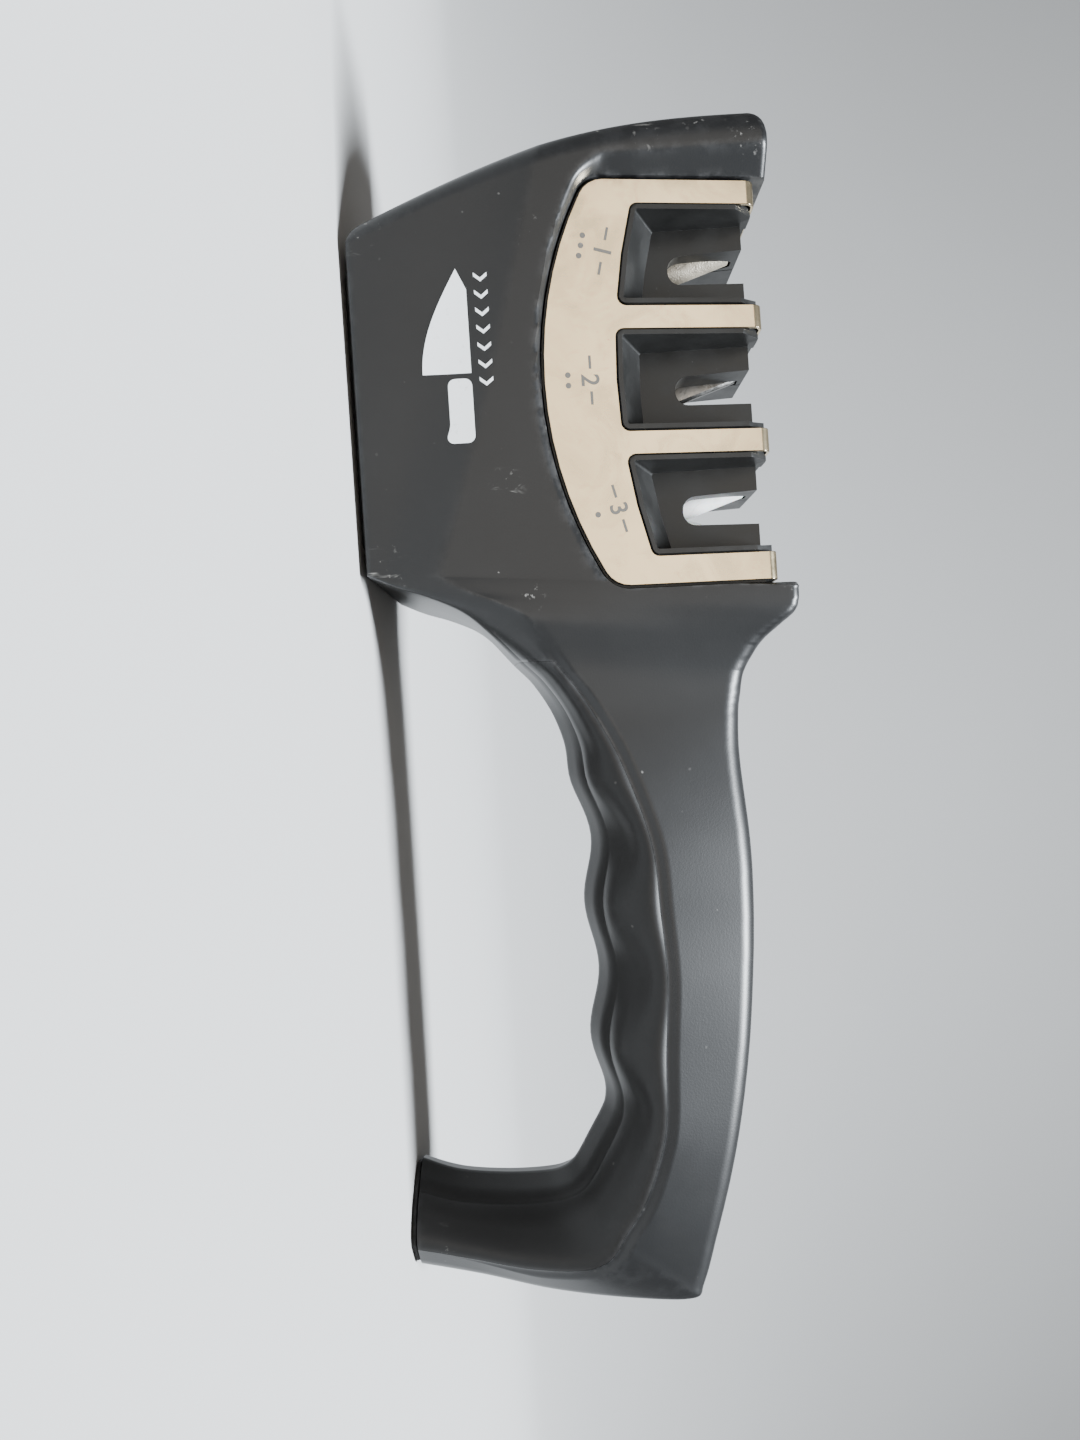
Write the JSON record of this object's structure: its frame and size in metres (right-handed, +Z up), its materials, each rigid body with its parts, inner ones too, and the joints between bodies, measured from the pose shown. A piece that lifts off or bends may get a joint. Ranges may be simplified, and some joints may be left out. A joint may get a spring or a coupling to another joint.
{
  "type": "three-slot pull-through knife sharpener",
  "caption": "Hand-held pull-through knife sharpener: deep head with V slots under a bright bent cover, and a handle with finger bumps that ends in a foot.",
  "frame": {"origin": "on the ground under the middle of the whole sharpener, midway between the nose and the end of the handle", "axes": "+X from the nose of the head to the end of the handle, +Y across, along a knife drawn through a slot, +Z up"},
  "size_m": [0.2208, 0.0498, 0.0798],
  "materials": {
    "body_plastic": "soft-touch",
    "grip_soft": "soft, matte",
    "insert_plastic": "satin",
    "plate_plastic": "matte",
    "pad_rubber": "matte",
    "cover_steel": "polished",
    "coated_rod": "grit-coated",
    "carbide": "ground",
    "ceramic_white": "satin",
    "screw_steel": "plain"
  },
  "bodies": {
    "root": {"base_pad": "pad_rubber", "base_plate": "plate_plastic", "base_screw_1": "screw_steel", "base_screw_2": "screw_steel", "base_screw_3": "screw_steel", "base_screw_4": "screw_steel", "body_shell": "body_plastic", "carbide_blade_grip": "carbide", "carbide_blade_nose": "carbide", "ceramic_rod_grip": "ceramic_white", "ceramic_rod_nose": "ceramic_white", "clamp_screw_1": "screw_steel", "clamp_screw_2": "screw_steel", "coarse_rod_grip": "coated_rod", "coarse_rod_nose": "coated_rod", "finger_grip": "grip_soft", "foot_pad": "pad_rubber", "insert_half_back": "insert_plastic", "insert_half_front": "insert_plastic", "mount_screw_1": "screw_steel", "mount_screw_2": "screw_steel", "slot_cover": "cover_steel"}
  },
  "joints": []
}
